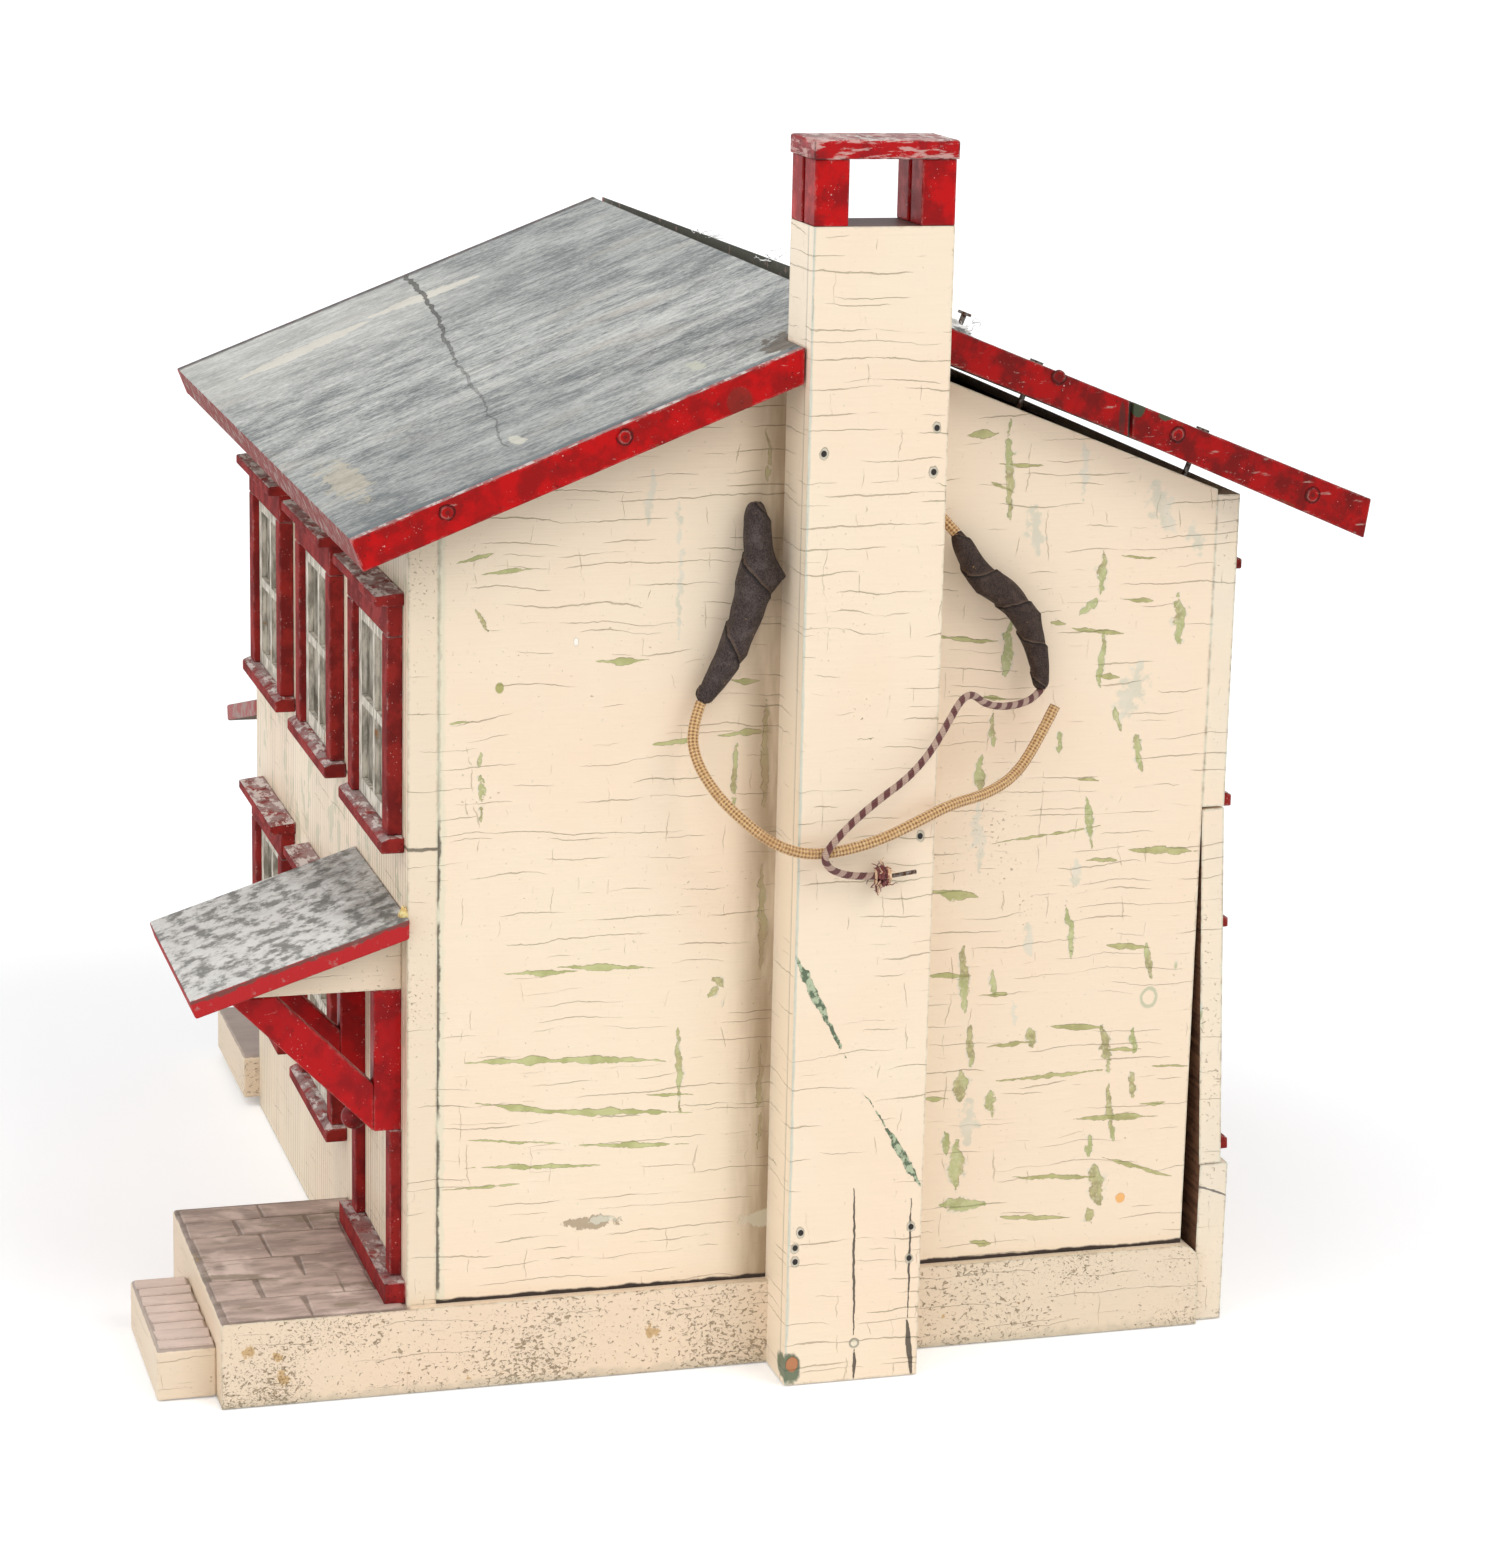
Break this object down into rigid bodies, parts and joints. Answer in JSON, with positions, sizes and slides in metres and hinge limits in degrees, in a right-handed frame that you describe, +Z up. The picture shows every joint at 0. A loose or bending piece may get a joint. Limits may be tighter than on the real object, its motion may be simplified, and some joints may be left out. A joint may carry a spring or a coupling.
{
  "type": "dollhouse",
  "caption": "Weathered two-storey wooden dollhouse with chimney, hooded doors on pivots, framed windows, a loose lift-off roof slope and the cut leads of an inside lamp",
  "frame": {"origin": "middle of the bounding box, on the ground plane that the beams rest on", "axes": "+Z up; +X towards the chimney gable; -Y towards the front with the porch; +Y towards the back"},
  "size_m": [0.3581, 0.353, 0.3596],
  "materials": {
    "cream_paint": "satin",
    "stone_paint": "matte",
    "roof_paint": "matte",
    "bright_red_paint": "gloss",
    "dull_red_paint": "satin",
    "sash_paint": "satin",
    "bare_wood": "matte",
    "pane": "gloss",
    "nail_steel": "satin",
    "brass": "satin",
    "tan_braid": "matte",
    "striped_braid": "matte",
    "cloth_tape": "matte"
  },
  "bodies": {
    "house": {"porch_beam": "stone_paint", "far_beam": "cream_paint", "porch_step": "stone_paint", "side_stoop": "stone_paint", "ground_floor": "bare_wood", "upper_floor": "bare_wood", "chimney_gable": "cream_paint", "far_gable": "cream_paint", "front_wall_lower": "cream_paint", "front_wall_upper": "cream_paint", "back_wall_upper": "cream_paint", "back_wall_middle": "cream_paint", "back_plinth": "cream_paint", "chimney_core": "cream_paint", "chimney_front": "cream_paint", "pot_posts": "bright_red_paint", "chimney_cap": "bright_red_paint", "front_roof_panel": "roof_paint", "front_rake_strips": "bright_red_paint", "window_sills": "dull_red_paint", "window_jambs": "dull_red_paint", "window_lintels": "dull_red_paint", "window_caps": "dull_red_paint", "window_sashes": "sash_paint", "window_panes": "pane", "front_hood_roof": "roof_paint", "side_hood_roof": "roof_paint", "hood_cheeks": "cream_paint", "bracket_legs": "bright_red_paint", "bracket_braces": "bright_red_paint", "front_door_jambs": "dull_red_paint", "front_door_lintel": "dull_red_paint", "front_threshold": "dull_red_paint", "side_door_jambs": "dull_red_paint", "side_door_lintel": "dull_red_paint", "side_threshold": "dull_red_paint", "lamp_block": "bare_wood", "lamp_holder": "brass", "lamp_bulb": "pane", "terminal_screws": "brass", "left_lead": "tan_braid", "right_lead": "tan_braid", "left_tape_wrap": "cloth_tape", "right_tape_wrap": "cloth_tape", "tan_cord": "tan_braid", "striped_wire": "striped_braid", "frayed_knot": "striped_braid", "bare_wire_end": "nail_steel"},
    "back_roof": {"back_roof_panel": "roof_paint", "back_rake_upper": "bright_red_paint", "back_rake_lower": "bright_red_paint", "back_rake_far": "bright_red_paint", "roof_nails": "nail_steel"},
    "front_door": {"front_door_leaf": "cream_paint", "front_door_pivots": "nail_steel", "front_door_knob": "dull_red_paint"},
    "side_door": {"side_door_leaf": "cream_paint", "side_door_pivots": "nail_steel", "side_door_knob": "dull_red_paint"}
  },
  "joints": [
    {"name": "front_door_hinge", "type": "hinge", "parent": "house", "child": "front_door", "pos_m": [0.13425, -0.103, 0.032], "axis": [0, 0, -1], "range_deg": [0, 90]},
    {"name": "side_door_hinge", "type": "hinge", "parent": "house", "child": "side_door", "pos_m": [-0.11035, -0.0849, 0.032], "axis": [0, 0, -1], "range_deg": [0, 90]},
    {"name": "back_roof_lift", "type": "slide", "parent": "house", "child": "back_roof", "axis": [-0.0105, 0.3681, 0.9297], "range_m": [0, 0.07]}
  ]
}
